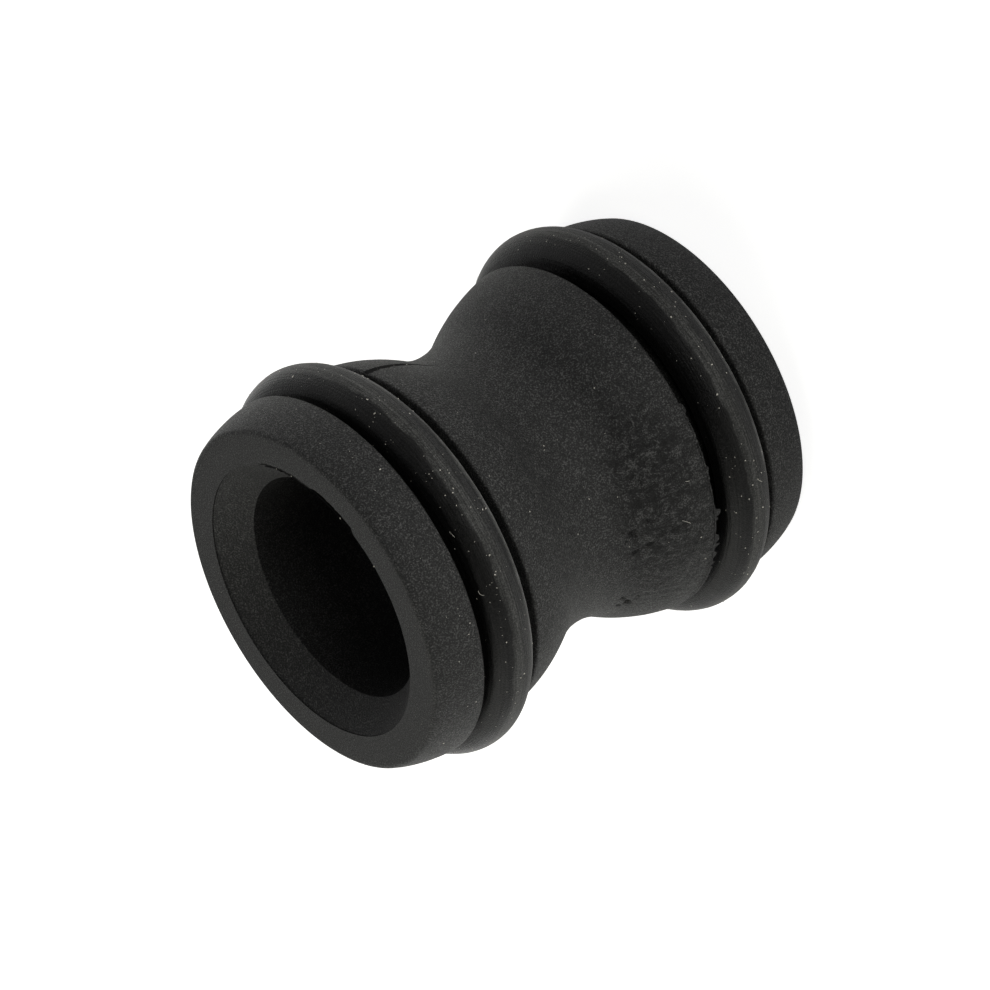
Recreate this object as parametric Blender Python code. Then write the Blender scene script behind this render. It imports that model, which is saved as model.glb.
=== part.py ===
"""Coolant pipe: a short moulded connector pipe that plugs in at both ends.

The pipe is one moulding with an hourglass neck, a crowned collar at each end and a groove behind
each collar. A rubber O-ring sits in each groove. The pipe stands on one end, its axis on Z and the
centre of its lower end face at the origin. Sizes are in metres.

The radii stack up from the bore: bore, wall under the ring, ring, collar. The lengths stack up along
the axis: collar, groove, neck, groove, collar.
"""

import bmesh
import bpy
from math import cos, pi, radians, sin, sqrt, tan
from mathutils import Vector

# Bore and walls
BORE_RADIUS = 0.00915
NECK_WALL = 0.00245
GROOVE_WALL = 0.00265
LEAD_IN_WIDTH = 0.00215
LEAD_IN_ANGLE = radians(45)

# O-rings and the grooves that hold them
RING_SECTION = 0.0040
RING_PROUD = 0.0011
GROOVE_SIDE_ROOM = 0.00075
FIT_GAP = 0.0003

# Lengths along the axis
COLLAR_WIDTH = 0.004125
NECK_LENGTH = 0.01795

# Crown of each collar: an arc that falls from the groove to the end face
CROWN_FALL = 0.0010
CROWN_PEAK_INSET = 0.0005

# Flared shoulder of the neck: an arc whose peak would lie inside the groove
SHOULDER_DROP = 0.00025
SHOULDER_PEAK_INSET = 0.0022
SHOULDER_SHARE = 0.655

# Roundings of the moulded edges
END_FACE_ROUND = 0.00045
MOUTH_ROUND = 0.00015
GROOVE_EDGE_ROUND = 0.0002
GROOVE_FLOOR_ROUND = 0.0004

# Facets
TURN_STEPS = 64
RING_SECTION_STEPS = 16
CROWN_STEPS = 4
SHOULDER_STEPS = 6
NECK_STEPS = 5
ROUND_STEPS = 2
SHARP_EDGE_ANGLE = radians(32)

# A rounding takes at most this share of the side next to it
ROUND_SIDE_SHARE = 0.45

# Linear colours and roughness of the two materials
NYLON_BLACK = (0.012, 0.012, 0.013)
NYLON_ROUGHNESS = 0.62
RUBBER_BLACK = (0.008, 0.008, 0.009)
RUBBER_ROUGHNESS = 0.45

# Sizes that follow from those above
GROOVE_FLOOR_RADIUS = BORE_RADIUS + GROOVE_WALL
RING_CENTRE_RADIUS = GROOVE_FLOOR_RADIUS + FIT_GAP + RING_SECTION / 2
COLLAR_RADIUS = RING_CENTRE_RADIUS + RING_SECTION / 2 - RING_PROUD
NECK_RADIUS = BORE_RADIUS + NECK_WALL
SHOULDER_PEAK_RADIUS = COLLAR_RADIUS - SHOULDER_DROP
MOUTH_RADIUS = BORE_RADIUS + LEAD_IN_WIDTH
LEAD_IN_DEPTH = LEAD_IN_WIDTH / tan(LEAD_IN_ANGLE)
GROOVE_WIDTH = RING_SECTION + 2 * GROOVE_SIDE_ROOM
SHOULDER_EDGE = NECK_LENGTH / 2
COLLAR_EDGE = SHOULDER_EDGE + GROOVE_WIDTH
HALF_LENGTH = COLLAR_EDGE + COLLAR_WIDTH


def clear_scene():
    for item in list(bpy.data.objects):
        bpy.data.objects.remove(item, do_unlink=True)


def plain_material(name, colour, roughness):
    """A non-metallic material of one linear colour."""
    material = bpy.data.materials.new(name)
    material.use_nodes = True
    shader = material.node_tree.nodes["Principled BSDF"]
    shader.inputs["Base Color"].default_value = (*colour, 1.0)
    shader.inputs["Roughness"].default_value = roughness
    shader.inputs["Metallic"].default_value = 0.0
    return material


def arc_radius(run, fall):
    """Radius of an arc that starts level and falls by that much over that run."""
    return (run * run + fall * fall) / (2 * fall)


def crown_radius_at(height):
    """Outer radius of a collar at a height above the middle of the pipe."""
    peak = COLLAR_EDGE - CROWN_PEAK_INSET
    arc = arc_radius(HALF_LENGTH - peak, CROWN_FALL)
    return COLLAR_RADIUS - arc + sqrt(arc * arc - (height - peak) ** 2)


def crown_corners():
    """The collar's outer side, from the end face down to the groove. Its ends are rounded edges."""
    heights = [HALF_LENGTH - COLLAR_WIDTH * step / CROWN_STEPS for step in range(CROWN_STEPS + 1)]
    roundings = [END_FACE_ROUND] + [0.0] * (CROWN_STEPS - 1) + [GROOVE_EDGE_ROUND]
    return [(crown_radius_at(height), height, rounding) for height, rounding in zip(heights, roundings)]


def neck_corners():
    """The neck from the groove to the waist: a convex shoulder arc that runs smoothly into a hollow one."""
    rise = SHOULDER_PEAK_RADIUS - NECK_RADIUS
    peak = SHOULDER_EDGE + SHOULDER_PEAK_INSET
    both_arcs = arc_radius(peak, rise)
    shoulder_arc = both_arcs * SHOULDER_SHARE
    waist_arc = both_arcs - shoulder_arc
    meeting = peak * waist_arc / both_arcs
    corners = []
    for step in range(SHOULDER_STEPS):
        height = SHOULDER_EDGE + (meeting - SHOULDER_EDGE) * step / SHOULDER_STEPS
        radius = SHOULDER_PEAK_RADIUS - shoulder_arc + sqrt(shoulder_arc ** 2 - (peak - height) ** 2)
        corners.append((radius, height, 0.0 if step else GROOVE_EDGE_ROUND))
    for step in range(NECK_STEPS + 1):
        height = meeting * (1 - step / NECK_STEPS)
        radius = NECK_RADIUS + waist_arc - sqrt(waist_arc ** 2 - height ** 2)
        corners.append((radius, height, 0.0))
    return corners


def upper_half_corners():
    """Half of the pipe's section as (radius, height, rounding), from the bore over the end to the waist."""
    lead_in = [(BORE_RADIUS, HALF_LENGTH - LEAD_IN_DEPTH, 0.0), (MOUTH_RADIUS, HALF_LENGTH, MOUTH_ROUND)]
    groove_floor = [
        (GROOVE_FLOOR_RADIUS, COLLAR_EDGE, GROOVE_FLOOR_ROUND),
        (GROOVE_FLOOR_RADIUS, SHOULDER_EDGE, GROOVE_FLOOR_ROUND),
    ]
    return lead_in + crown_corners() + groove_floor + neck_corners()


def pipe_section():
    """The whole section, its lower half a mirror image of the upper one about the waist."""
    upper = upper_half_corners()
    lower = [(radius, -height, rounding) for radius, height, rounding in reversed(upper[:-1])]
    return rounded_outline(upper + lower)


def rounded_outline(corners):
    """Points of a closed outline in which each corner that has a rounding becomes a short arc."""
    points = []
    for index, (radius, height, rounding) in enumerate(corners):
        corner = Vector((radius, height))
        if not rounding:
            points.append(corner)
            continue
        to_previous = Vector(corners[index - 1][:2]) - corner
        to_next = Vector(corners[(index + 1) % len(corners)][:2]) - corner
        half_angle = to_previous.angle(to_next) / 2
        longest_reach = ROUND_SIDE_SHARE * min(to_previous.length, to_next.length)
        reach = min(rounding / tan(half_angle), longest_reach)
        arc = reach * tan(half_angle)
        to_previous.normalize()
        to_next.normalize()
        centre = corner + (to_previous + to_next).normalized() * arc / sin(half_angle)
        start = corner + to_previous * reach - centre
        end = corner + to_next * reach - centre
        for step in range(ROUND_STEPS + 1):
            points.append(centre + start.lerp(end, step / ROUND_STEPS).normalized() * arc)
    return points


def ring_section():
    """A round section that starts at the top and runs down its outer side."""
    turns = [2 * pi * step / RING_SECTION_STEPS for step in range(RING_SECTION_STEPS)]
    half = RING_SECTION / 2
    return [Vector((RING_CENTRE_RADIUS + half * sin(turn), half * cos(turn))) for turn in turns]


def turned_solid(name, outline, height, material, parent):
    """Turn a closed outline of (radius, height) points about Z and set the solid at a height."""
    shape = bmesh.new()
    corners = [shape.verts.new((radius, 0.0, level)) for radius, level in outline]
    for index, corner in enumerate(corners):
        shape.edges.new((corner, corners[(index + 1) % len(corners)]))
    bmesh.ops.spin(
        shape,
        geom=shape.verts[:] + shape.edges[:],
        cent=(0.0, 0.0, 0.0),
        axis=(0.0, 0.0, 1.0),
        angle=2 * pi,
        steps=TURN_STEPS,
        use_merge=True,
    )
    bmesh.ops.recalc_face_normals(shape, faces=shape.faces[:])
    mesh = bpy.data.meshes.new(name)
    shape.to_mesh(mesh)
    shape.free()
    mesh.shade_smooth()
    mesh.set_sharp_from_angle(angle=SHARP_EDGE_ANGLE)
    mesh.materials.append(material)
    solid = bpy.data.objects.new(name, mesh)
    solid.parent = parent
    solid.location = (0.0, 0.0, height)
    bpy.context.scene.collection.objects.link(solid)


def main():
    clear_scene()
    pipe = bpy.data.objects.new("coolant_pipe", None)
    bpy.context.scene.collection.objects.link(pipe)
    nylon = plain_material("black_moulded_nylon", NYLON_BLACK, NYLON_ROUGHNESS)
    rubber = plain_material("black_seal_rubber", RUBBER_BLACK, RUBBER_ROUGHNESS)
    turned_solid("pipe_body", pipe_section(), HALF_LENGTH, nylon, pipe)
    # The upper ring lies in the middle of its groove. The lower one has slid down to its collar.
    upper_ring_height = HALF_LENGTH + SHOULDER_EDGE + GROOVE_WIDTH / 2
    lower_ring_height = COLLAR_WIDTH + FIT_GAP + RING_SECTION / 2
    turned_solid("o_ring_upper", ring_section(), upper_ring_height, rubber, pipe)
    turned_solid("o_ring_lower", ring_section(), lower_ring_height, rubber, pipe)


main()
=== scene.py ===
"""Looks of the coolant pipe: a short moulded pipe of black glass-filled nylon with a rubber O-ring
in a groove at each end.

The pipe stands on one end with its axis on Z. The camera is rolled, so the picture shows it leaning
with its open mouth to the lower left. Azimuths are in degrees round Z from +X towards +Y, and the
camera looks along +Y, so the side in view is near azimuth -90. Sizes are in millimetres, heights are
from the floor, and MM turns millimetres to metres.
"""

import random
from math import atan2, cos, degrees, exp, hypot, pi, radians, sin, sqrt, tan

import bmesh
import bpy
from mathutils import Matrix, Vector


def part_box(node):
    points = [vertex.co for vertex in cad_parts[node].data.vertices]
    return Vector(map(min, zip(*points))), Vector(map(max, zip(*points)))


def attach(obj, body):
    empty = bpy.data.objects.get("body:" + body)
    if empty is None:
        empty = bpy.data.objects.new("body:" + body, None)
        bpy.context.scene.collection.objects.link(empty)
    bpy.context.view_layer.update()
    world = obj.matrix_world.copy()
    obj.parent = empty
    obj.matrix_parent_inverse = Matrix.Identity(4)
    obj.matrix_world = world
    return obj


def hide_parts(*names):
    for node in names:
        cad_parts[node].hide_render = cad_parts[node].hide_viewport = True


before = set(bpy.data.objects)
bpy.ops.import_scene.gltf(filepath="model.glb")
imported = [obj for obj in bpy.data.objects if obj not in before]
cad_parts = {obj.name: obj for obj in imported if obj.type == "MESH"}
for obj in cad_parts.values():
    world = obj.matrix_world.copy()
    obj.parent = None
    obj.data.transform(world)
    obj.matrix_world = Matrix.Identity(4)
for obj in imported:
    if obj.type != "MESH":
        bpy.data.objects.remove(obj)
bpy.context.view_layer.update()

MM = 0.001
UP = Vector((0, 0, 1))

# Sizes read from the frame
BODY_LOW, BODY_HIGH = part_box("pipe_body")
LENGTH = (BODY_HIGH.z - BODY_LOW.z) / MM
HALF_LENGTH = LENGTH / 2
RING_LOW, RING_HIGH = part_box("o_ring_upper")
RING_SECTION = (RING_HIGH.z - RING_LOW.z) / MM
RING_CENTRE_RADIUS = RING_HIGH.x / MM - RING_SECTION / 2

# Section of the pipe
BORE_RADIUS = 9.15
MOUTH_RADIUS = 11.3
MOUTH_STEP = 0.12
COLLAR_RADIUS = 15.0
COLLAR_WIDTH = 4.125
CROWN_FALL = 1.0
CROWN_PEAK_INSET = 0.5
GROOVE_WIDTH = 5.5
GROOVE_FLOOR_RADIUS = 11.8
NECK_RADIUS = 11.6
SHOULDER_PEAK_RADIUS = 14.75
SHOULDER_PEAK_INSET = 2.2
SHOULDER_SHARE = 0.655
COLLAR_EDGE = HALF_LENGTH - COLLAR_WIDTH
SHOULDER_EDGE = COLLAR_EDGE - GROOVE_WIDTH
LOWER_RIM = HALF_LENGTH - SHOULDER_EDGE
UPPER_RIM = HALF_LENGTH + SHOULDER_EDGE

# Roundings of the moulded edges
END_FACE_ROUND = 0.45
GROOVE_EDGE_ROUND = 0.2
GROOVE_FLOOR_ROUND = 0.4

# Room left for those roundings before the next point of the section
END_FACE_ROOM = 0.8
COLLAR_EDGE_ROOM = 0.4
NECK_EDGE_ROOM = 0.35

# Points closer than this many metres are merged
MERGE_DISTANCE = 1e-7

# The mould parts along two lines opposite each other, where its halves met with a slight step. Cuts
# in the mesh lie at small turns from each line.
PARTING_AZIMUTHS = (-31, 149)
PARTING_STEP = 0.11
PARTING_CUTS = (-0.2, 0.2)

# Steps of the meshes round the axis, round a ring's section and along the body's section
BODY_TURNS = 320
RING_TURNS = 360
RING_SECTION_TURNS = 56
LEAD_IN_STEPS = 6
FACE_STEPS = 5
CROWN_STEPS = 10
NECK_STEPS = 32
ROUND_STEPS = 4

# What is further from the axis than this is on the body's outer side
OUTSIDE_RADIUS = BORE_RADIUS + 1.5


def arc_radius(run, fall):
    """Radius of an arc that starts level and falls by that much over that run."""
    return (run * run + fall * fall) / (2 * fall)


def crown_radius_at(level):
    """Outer radius of a collar at a level above the middle of the pipe."""
    peak = COLLAR_EDGE - CROWN_PEAK_INSET
    arc = arc_radius(HALF_LENGTH - peak, CROWN_FALL)
    return COLLAR_RADIUS - arc + sqrt(arc * arc - (level - peak) ** 2)


def neck_radius_at(level):
    """Outer radius of the neck: a convex shoulder arc that runs smoothly into a hollow one."""
    level = abs(level)
    rise = SHOULDER_PEAK_RADIUS - NECK_RADIUS
    peak = SHOULDER_EDGE + SHOULDER_PEAK_INSET
    both_arcs = arc_radius(peak, rise)
    shoulder_arc = both_arcs * SHOULDER_SHARE
    waist_arc = both_arcs - shoulder_arc
    if level > peak * waist_arc / both_arcs:
        return SHOULDER_PEAK_RADIUS - shoulder_arc + sqrt(shoulder_arc ** 2 - (peak - level) ** 2)
    return NECK_RADIUS + waist_arc - sqrt(waist_arc ** 2 - level ** 2)


def outer_radius_at(level):
    """Outer radius of the pipe's collar or neck at a level above or below the middle."""
    if abs(level) >= COLLAR_EDGE:
        return crown_radius_at(abs(level))
    return neck_radius_at(level)


def steps_between(start, end, count):
    """Evenly spaced values from start up to end, without end."""
    return [start + (end - start) * step / count for step in range(count)]


def half_outline():
    """Upper half of the section as (radius, level, rounding), from the bore over the end to the waist."""
    lead_in = MOUTH_RADIUS - BORE_RADIUS
    lead_in_bottom = HALF_LENGTH - MOUTH_STEP - lead_in
    reaches = steps_between(0, lead_in, LEAD_IN_STEPS)
    corners = [(BORE_RADIUS + reach, lead_in_bottom + reach, 0.0) for reach in reaches]
    corners.append((MOUTH_RADIUS, HALF_LENGTH - MOUTH_STEP, 0.0))
    face_edge = crown_radius_at(HALF_LENGTH)
    face_radii = steps_between(MOUTH_RADIUS, face_edge - END_FACE_ROOM, FACE_STEPS)
    corners += [(radius, HALF_LENGTH, 0.0) for radius in face_radii]
    corners.append((face_edge, HALF_LENGTH, END_FACE_ROUND))
    crown_top = HALF_LENGTH - END_FACE_ROOM
    crown_levels = steps_between(crown_top, COLLAR_EDGE + COLLAR_EDGE_ROOM, CROWN_STEPS)
    corners += [(crown_radius_at(level), level, 0.0) for level in crown_levels]
    corners.append((crown_radius_at(COLLAR_EDGE), COLLAR_EDGE, GROOVE_EDGE_ROUND))
    corners.append((GROOVE_FLOOR_RADIUS, COLLAR_EDGE, GROOVE_FLOOR_ROUND))
    corners.append((GROOVE_FLOOR_RADIUS, SHOULDER_EDGE, GROOVE_FLOOR_ROUND))
    corners.append((neck_radius_at(SHOULDER_EDGE), SHOULDER_EDGE, GROOVE_EDGE_ROUND))
    neck_levels = steps_between(SHOULDER_EDGE - NECK_EDGE_ROOM, 0, NECK_STEPS)
    corners += [(neck_radius_at(level), level, 0.0) for level in neck_levels]
    corners.append((neck_radius_at(0), 0.0, 0.0))
    return corners


def whole_outline():
    """The whole section, its lower half a mirror image of the upper one about the waist."""
    upper = half_outline()
    return upper + [(radius, -level, rounding) for radius, level, rounding in reversed(upper[:-1])]


def outward_at(azimuth):
    """The way that points straight out from the axis."""
    return Vector((cos(radians(azimuth)), sin(radians(azimuth)), 0))


def place_on_pipe(azimuth, height):
    """Point on the outer skin of a collar or the neck, and the way that the skin faces there."""
    level = height - HALF_LENGTH
    slope = (outer_radius_at(level + 0.05) - outer_radius_at(level - 0.05)) / 0.1
    outward = outward_at(azimuth)
    return (outward * outer_radius_at(level) + UP * height) * MM, (outward - UP * slope).normalized()


def place_on_ring(node, azimuth, section_angle):
    """Point on an O-ring and the way it faces. The section angle is 0 outward and 90 upward."""
    low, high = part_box(node)
    centre = outward_at(azimuth) * RING_CENTRE_RADIUS * MM + UP * (low.z + high.z) / 2
    facing = outward_at(azimuth) * cos(radians(section_angle)) + UP * sin(radians(section_angle))
    return centre + facing * RING_SECTION / 2 * MM, facing


def place_on_face(azimuth, radius, depth=0.0):
    """Point on the upper end face, which faces up, or that deep below it."""
    return (outward_at(azimuth) * radius + UP * (LENGTH - depth)) * MM, UP.copy()


def azimuth_of(point):
    return degrees(atan2(point.y, point.x))


def turn_between(azimuth, other):
    """Signed turn in degrees from one azimuth to another, from -180 to 180."""
    return (other - azimuth + 180) % 360 - 180


def fade(value, full, gone):
    """1 where the value is at or before `full`, 0 at or after `gone`, and smooth between them."""
    share = min(max((value - gone) / (full - gone), 0.0), 1.0)
    return share * share * (3 - 2 * share)


def within(azimuth, first, last):
    """1 between two azimuths, with a fade to 0 over the 3 degrees inside each of them."""
    return fade(azimuth, first + 3, first) * fade(azimuth, last - 3, last)


def start_piece(name):
    """A piece that is one vertex at the origin, in edit mode."""
    bpy.ops.object.select_all(action="DESELECT")
    bpy.ops.mesh.primitive_plane_add(size=MM)
    piece = bpy.context.object
    rename(piece, name)
    bpy.ops.object.mode_set(mode="EDIT")
    bpy.ops.mesh.merge(type="CENTER")
    return piece


def rename(piece, name):
    piece.name = name
    piece.data.name = name


def select_points(piece, wanted):
    """Select the vertices whose place `wanted` accepts, and the edges and faces between them."""
    bpy.ops.mesh.select_all(action="DESELECT")
    mesh = bmesh.from_edit_mesh(piece.data)
    for vertex in mesh.verts:
        vertex.select = wanted(vertex.co)
    mesh.select_flush_mode()
    bmesh.update_edit_mesh(piece.data)


def select_faces(piece, wanted):
    """Select the faces whose middle `wanted` accepts."""
    bpy.ops.mesh.select_mode(type="FACE")
    bpy.ops.mesh.select_all(action="DESELECT")
    mesh = bmesh.from_edit_mesh(piece.data)
    for face in mesh.faces:
        face.select = wanted(face.calc_center_median())
    mesh.select_flush_mode()
    bmesh.update_edit_mesh(piece.data)
    bpy.ops.mesh.select_mode(type="VERT")


def draw_path(points):
    """Move the one selected vertex to the first point and extrude it from point to point."""
    bpy.ops.transform.translate(value=points[0])
    for start, end in zip(points, points[1:]):
        bpy.ops.mesh.extrude_vertices_move(TRANSFORM_OT_translate={"value": end - start})


def round_corner(piece, place, before, after, radius):
    """Bevel one corner of a drawn section into an arc of that radius."""
    half_angle = (before - place).angle(after - place) / 2
    select_points(piece, lambda point: (point - place).length < MERGE_DISTANCE * 10)
    bpy.ops.mesh.bevel(
        offset=radius / tan(half_angle), segments=ROUND_STEPS, profile=0.5, affect="VERTICES")


def finish_mesh(sharp_angle=30):
    """Leave edit mode with merged points, outward faces and smooth shading apart from sharp edges."""
    bpy.ops.mesh.select_all(action="SELECT")
    bpy.ops.mesh.remove_doubles(threshold=MERGE_DISTANCE)
    bpy.ops.mesh.normals_make_consistent(inside=False)
    bpy.ops.object.mode_set(mode="OBJECT")
    bpy.ops.object.shade_smooth_by_angle(angle=radians(sharp_angle))


def displace(piece, name, weight_at, depth, noise=None, size=1.0, direction="NORMAL"):
    """Push the skin outward by `depth` times a place's weight, or both ways by a noise pattern."""
    group = piece.vertex_groups.new(name=name)
    for vertex in piece.data.vertices:
        weight = weight_at(vertex.co)
        if weight > 0:
            group.add([vertex.index], min(weight, 1.0), "REPLACE")
    push = piece.modifiers.new(name, "DISPLACE")
    push.vertex_group = name
    push.direction = direction
    push.strength = depth * MM
    push.mid_level = 0.0
    if noise:
        push.texture = bpy.data.textures.new(name, noise)
        push.texture.noise_scale = size * MM
        push.texture_coords = "LOCAL"
        push.strength = 2 * depth * MM
        push.mid_level = 0.5
    bpy.context.view_layer.objects.active = piece
    bpy.ops.object.modifier_apply(modifier=name)


def turn_body():
    """The pipe's body: its section drawn, its corners rounded and the whole spun about Z."""
    piece = start_piece("pipe_body_moulding")
    corners = whole_outline()
    places = [Vector((radius, 0, level + HALF_LENGTH)) * MM for radius, level, _ in corners]
    draw_path(places + places[:1])
    bpy.ops.mesh.select_all(action="SELECT")
    bpy.ops.mesh.remove_doubles(threshold=MERGE_DISTANCE)
    for index, (_, _, rounding) in enumerate(corners):
        if rounding:
            after = places[(index + 1) % len(places)]
            round_corner(piece, places[index], places[index - 1], after, rounding * MM)
    bpy.ops.mesh.select_all(action="SELECT")
    bpy.ops.mesh.spin(
        steps=BODY_TURNS, angle=2 * pi, center=(0, 0, 0), axis=(0, 0, 1), use_auto_merge=True)
    cut_parting_lines(piece)
    refine_worn_side(piece)
    finish_mesh()
    return piece


def cut_parting_lines(piece):
    """Two close cuts beside each parting line, so that the step between the mould halves is crisp."""
    for azimuth in PARTING_AZIMUTHS:
        for turn in PARTING_CUTS:
            select_faces(piece, lambda middle: (
                abs(turn_between(azimuth, azimuth_of(middle))) < 3
                and LOWER_RIM * MM < middle.z < UPPER_RIM * MM
                and is_outside(middle)))
            bpy.ops.mesh.bisect(plane_co=(0, 0, 0), plane_no=outward_at(azimuth + turn + 90))


# Worn side of the lower shoulder: the azimuths and heights that it spans
WORN_AZIMUTHS = (-176, -92)
WORN_HEIGHTS = (9.8, 17.4)


def refine_worn_side(piece):
    """Finer faces where the shoulder is scuffed, so that its pits and folds have a shape."""
    select_faces(piece, lambda middle: (
        WORN_AZIMUTHS[0] < azimuth_of(middle) < WORN_AZIMUTHS[1]
        and WORN_HEIGHTS[0] * MM < middle.z < WORN_HEIGHTS[1] * MM
        and is_outside(middle)))
    bpy.ops.mesh.subdivide(number_cuts=2)


def is_outside(point):
    return hypot(point.x, point.y) > OUTSIDE_RADIUS * MM


def waved_share(point):
    """The moulding waves slightly on its outer side. The end faces stay flat: it stands on one."""
    level = abs(point.z / MM - HALF_LENGTH)
    return fade(level, HALF_LENGTH - 0.5, HALF_LENGTH) if is_outside(point) else 0.0


# Chips in the upper mouth's edge: first and last azimuth, and share of the full depth
CHIPS = ((-46, -22, 0.35), (-77, -51, 1.0), (-93, -90, 0.5))
CHIP_DEPTH = 0.26


def chipped_share(point):
    """How far the upper mouth's edge is broken away at a place."""
    off_edge = abs(hypot(point.x, point.y) / MM - MOUTH_RADIUS)
    if off_edge > 0.1 or point.z / MM < LENGTH - 0.3:
        return 0.0
    azimuth = azimuth_of(point)
    ragged = 0.8 + 0.2 * sin(azimuth * 1.9) * sin(azimuth * 0.7)
    return ragged * max(share * within(azimuth, first, last) for first, last, share in CHIPS)


def on_worn_side(point):
    """True on the outer skin of the lower shoulder, where it is scuffed, pitted and folded."""
    return LOWER_RIM - 1 < point.z / MM < HALF_LENGTH and point.x < 5 * MM and is_outside(point)


# Heights at which the step beside a parting line starts, is full, begins to end and is gone
STEP_START = 20.5
STEP_FULL = 26.5
STEP_LAST = 27.4
STEP_GONE = 27.8


def on_parting_step(point):
    """Weight of the raised mould half beside a parting line, highest at the flared rim of the neck."""
    height = point.z / MM
    beside = max(step_beside(azimuth_of(point), azimuth) for azimuth in PARTING_AZIMUTHS)
    along = fade(height, STEP_FULL, STEP_START) * fade(height, STEP_LAST, STEP_GONE)
    return beside * along if is_outside(point) else 0.0


def step_beside(azimuth, parting):
    """The step is sharp on the line itself and runs out within 34 degrees on one side of it."""
    turn = turn_between(parting, azimuth)
    return fade(turn, 4, 34) if turn > 0 else 0.0


# Pits in the worn side: azimuth, height, radius and share of the full depth
PITS = (
    (-131, 15.9, 0.3, 1.0),
    (-133.5, 16.4, 0.16, 0.5),
    (-129, 16.6, 0.14, 0.4),
    (-169.4, 15.1, 0.26, 1.0),
    (-166, 15.7, 0.15, 0.9),
    (-172, 15.6, 0.13, 0.7),
    (-164.5, 14.7, 0.12, 0.6),
    (-127, 14.7, 0.2, 0.35),
    (-112, 14.6, 0.3, 0.3),
)
PIT_DEPTH = 0.32
PIT_RIM_SPREAD = 2.0
PIT_RIM_HEIGHT = 0.13
PIT_PLACES = [
    (place_on_pipe(azimuth, height)[0], radius, share) for azimuth, height, radius, share in PITS]


def in_pits(point, spread=1.0):
    """Weight of the pits at a place: each is a dent about its own middle, `spread` times its size."""
    if not on_worn_side(point):
        return 0.0
    depth = 0.0
    for middle, radius, share in PIT_PLACES:
        distance = (point - middle).length / MM / (radius * spread)
        depth = max(depth, share * exp(-distance * distance))
    return depth if depth > 0.01 else 0.0


def round_pits(point):
    """Weight of the pits and of the skin round them."""
    return in_pits(point, PIT_RIM_SPREAD)


# Fold in the worn side: a crease between two places, with a raised lip beside it
FOLD_START, _ = place_on_pipe(-139.5, 15.9)
FOLD_END, _ = place_on_pipe(-131.5, 12.2)
FOLD_WIDTH = 0.11
FOLD_DEPTH = 0.3
FOLD_SWAY = 0.12
FOLD_LIP_ASIDE = 0.25
FOLD_LIP_HEIGHT = 0.13


def along_fold(point, aside=0.0):
    """Weight of the fold at a place, with its line shifted upward by `aside`."""
    if not on_worn_side(point):
        return 0.0
    start = FOLD_START + UP * aside * MM
    way = FOLD_END - FOLD_START
    share = (point - start).dot(way) / way.length_squared
    sway = UP * FOLD_SWAY * MM * sin(9 * share)
    nearest = start + sway + way * min(max(share, 0.0), 1.0)
    distance = (point - nearest).length / MM / FOLD_WIDTH
    uneven = 0.75 + 0.25 * sin(21 * share)
    return exp(-distance * distance) * uneven if distance < 2.5 else 0.0


def beside_fold(point):
    """Weight of the lip above the fold."""
    return along_fold(point, FOLD_LIP_ASIDE)


def wear_body(piece):
    """Slight waves in the moulding, the step at the parting lines, and the worn lower shoulder."""
    displace(piece, "mould_wave", waved_share, depth=0.03, noise="CLOUDS", size=4.5)
    displace(piece, "mouth_chip", chipped_share, depth=-CHIP_DEPTH)
    displace(piece, "parting_step", on_parting_step, depth=PARTING_STEP)
    displace(piece, "scuffs", scuffed_share, depth=0.07, noise="CLOUDS", size=0.6)
    displace(piece, "torn_rim", torn_rim_share, depth=0.1, noise="CLOUDS", size=0.3)
    displace(piece, "pits", in_pits, depth=-PIT_DEPTH)
    displace(piece, "pit_rims", round_pits, depth=PIT_RIM_HEIGHT, noise="CLOUDS", size=0.28)
    displace(piece, "fold", along_fold, depth=-FOLD_DEPTH)
    displace(piece, "fold_lip", beside_fold, depth=FOLD_LIP_HEIGHT)


def scuffed_share(point):
    """How scuffed the lower shoulder is at a place."""
    if not on_worn_side(point):
        return 0.0
    azimuth, height = azimuth_of(point), point.z / MM
    across = fade(azimuth, -105, -85) * fade(azimuth, -165, -179)
    return across * fade(height, 14, 17.5) * fade(height, 10.5, 9.7)


def torn_rim_share(point):
    """How torn the lower rim of the neck is at a place."""
    if not on_worn_side(point):
        return 0.0
    azimuth, height = azimuth_of(point), point.z / MM
    across = fade(azimuth, -110, -90) * fade(azimuth, -172, -179)
    return across * fade(abs(height - LOWER_RIM), 0.2, 0.8)


# Points round the whole circle that a sliver of flash is cut from, and the thickness of its wall
FLASH_TURNS = 1440
FLASH_WALL = 0.04


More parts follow.
